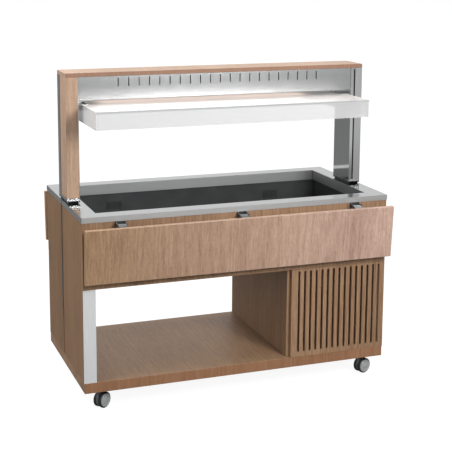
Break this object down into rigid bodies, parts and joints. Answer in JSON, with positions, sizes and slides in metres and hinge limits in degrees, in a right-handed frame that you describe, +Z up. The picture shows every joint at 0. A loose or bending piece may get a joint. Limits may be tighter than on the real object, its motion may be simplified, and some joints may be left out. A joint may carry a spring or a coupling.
{
  "type": "mobile salad bar",
  "caption": "Castored salad bar: wooden carcass with open shelf and slotted compartment, chilled well in a steel top, lit hood with clear guard, folding side trays.",
  "frame": {"origin": "on the floor under the middle of the worktop", "axes": "+X along the length towards the slotted compartment, +Y to the rear, +Z up"},
  "size_m": [1.5, 0.8908, 1.514],
  "materials": {
    "laminated_board": "light oak-pattern laminate, satin",
    "stainless_steel": "brushed stainless steel",
    "dark_steel": "dark coated steel",
    "black_tank": "near-black satin tank",
    "foam_casing": "grey foam casing",
    "lamp_diffuser": "white diffuser",
    "lamp_white": "white paint",
    "clear_guard": "clear, glossy",
    "castor_grey": "grey plastic",
    "castor_tyre": "black tyre",
    "compressor_black": "black paint",
    "condenser_metal": "coated fins",
    "fan_plastic": "black plastic"
  },
  "bodies": {
    "bar": {"base_board": "laminated_board", "partition": "laminated_board", "apron_front": "laminated_board", "apron_rear": "laminated_board", "grille_front": "laminated_board", "grille_rear": "laminated_board", "roof_board": "laminated_board", "end_panel_left_front": "laminated_board", "end_panel_left_rear": "laminated_board", "end_panel_right_front": "laminated_board", "end_panel_right_rear": "laminated_board", "upright_wood_left": "laminated_board", "upright_wood_right": "laminated_board", "worktop": "stainless_steel", "fascia_front": "stainless_steel", "fascia_rear": "stainless_steel", "side_liner_left": "stainless_steel", "side_liner_right": "stainless_steel", "mast_left": "stainless_steel", "mast_right": "stainless_steel", "upright_liner_left": "stainless_steel", "upright_liner_right": "stainless_steel", "guard_bracket_left": "stainless_steel", "guard_bracket_right": "stainless_steel", "tray_bracket_front_left": "dark_steel", "tray_bracket_front_middle": "dark_steel", "tray_bracket_front_right": "dark_steel", "tray_bracket_rear_left": "dark_steel", "tray_bracket_rear_middle": "dark_steel", "tray_bracket_rear_right": "dark_steel", "castor_plate_front_left": "dark_steel", "castor_plate_front_right": "dark_steel", "castor_plate_rear_left": "dark_steel", "castor_plate_rear_right": "dark_steel", "well_tank": "black_tank", "well_casing": "foam_casing", "lamp_housing": "lamp_white", "lamp_diffuser": "lamp_diffuser", "guard_sheet": "clear_guard", "guard_end_left": "clear_guard", "guard_end_right": "clear_guard", "compressor": "compressor_black", "condenser": "condenser_metal"},
    "tray_front_body": {"tray_front": "laminated_board", "tray_arm_front_left": "stainless_steel", "tray_arm_front_middle": "stainless_steel", "tray_arm_front_right": "stainless_steel"},
    "tray_rear_body": {"tray_rear": "laminated_board", "tray_arm_rear_left": "stainless_steel", "tray_arm_rear_middle": "stainless_steel", "tray_arm_rear_right": "stainless_steel"},
    "fan": {"fan_rotor": "fan_plastic"},
    "swivel_front_left": {"castor_fork_front_left": "castor_grey"},
    "wheels_front_left": {"castor_wheels_front_left": "castor_tyre"},
    "swivel_front_right": {"castor_fork_front_right": "castor_grey"},
    "wheels_front_right": {"castor_wheels_front_right": "castor_tyre"},
    "swivel_rear_left": {"castor_fork_rear_left": "castor_grey"},
    "wheels_rear_left": {"castor_wheels_rear_left": "castor_tyre"},
    "swivel_rear_right": {"castor_fork_rear_right": "castor_grey"},
    "wheels_rear_right": {"castor_wheels_rear_right": "castor_tyre"}
  },
  "joints": [
    {"name": "tray_front_fold", "type": "hinge", "parent": "bar", "child": "tray_front_body", "pos_m": [0, -0.3992, 0.864], "axis": [-1, 0, 0], "range_deg": [0, 94]},
    {"name": "tray_rear_fold", "type": "hinge", "parent": "bar", "child": "tray_rear_body", "pos_m": [0, 0.3992, 0.864], "axis": [1, 0, 0], "range_deg": [0, 94]},
    {"name": "fan_spin", "type": "hinge", "parent": "bar", "child": "fan", "pos_m": [0.4752, -0.2292, 0.3083], "axis": [0, 1, 0], "continuous": true},
    {"name": "castor_swivel_front_left", "type": "hinge", "parent": "bar", "child": "swivel_front_left", "pos_m": [-0.6622, -0.3072, 0.09], "axis": [0, 0, 1], "continuous": true},
    {"name": "castor_roll_front_left", "type": "hinge", "parent": "swivel_front_left", "child": "wheels_front_left", "pos_m": [-0.64976, -0.29881, 0.03718], "axis": [0.5592, -0.829, 0], "continuous": true},
    {"name": "castor_swivel_front_right", "type": "hinge", "parent": "bar", "child": "swivel_front_right", "pos_m": [0.6622, -0.3072, 0.09], "axis": [0, 0, 1], "continuous": true},
    {"name": "castor_roll_front_right", "type": "hinge", "parent": "swivel_front_right", "child": "wheels_front_right", "pos_m": [0.67662, -0.30306, 0.03718], "axis": [0.2756, -0.9613, 0], "continuous": true},
    {"name": "castor_swivel_rear_left", "type": "hinge", "parent": "bar", "child": "swivel_rear_left", "pos_m": [-0.6622, 0.3072, 0.09], "axis": [0, 0, 1], "continuous": true},
    {"name": "castor_roll_rear_left", "type": "hinge", "parent": "swivel_rear_left", "child": "wheels_rear_left", "pos_m": [-0.66733, 0.32129, 0.03718], "axis": [0.9397, 0.342, 0], "continuous": true},
    {"name": "castor_swivel_rear_right", "type": "hinge", "parent": "bar", "child": "swivel_rear_right", "pos_m": [0.6622, 0.3072, 0.09], "axis": [0, 0, 1], "continuous": true},
    {"name": "castor_roll_rear_right", "type": "hinge", "parent": "swivel_rear_right", "child": "wheels_rear_right", "pos_m": [0.6697, 0.32019, 0.03718], "axis": [0.866, -0.5, 0], "continuous": true}
  ]
}
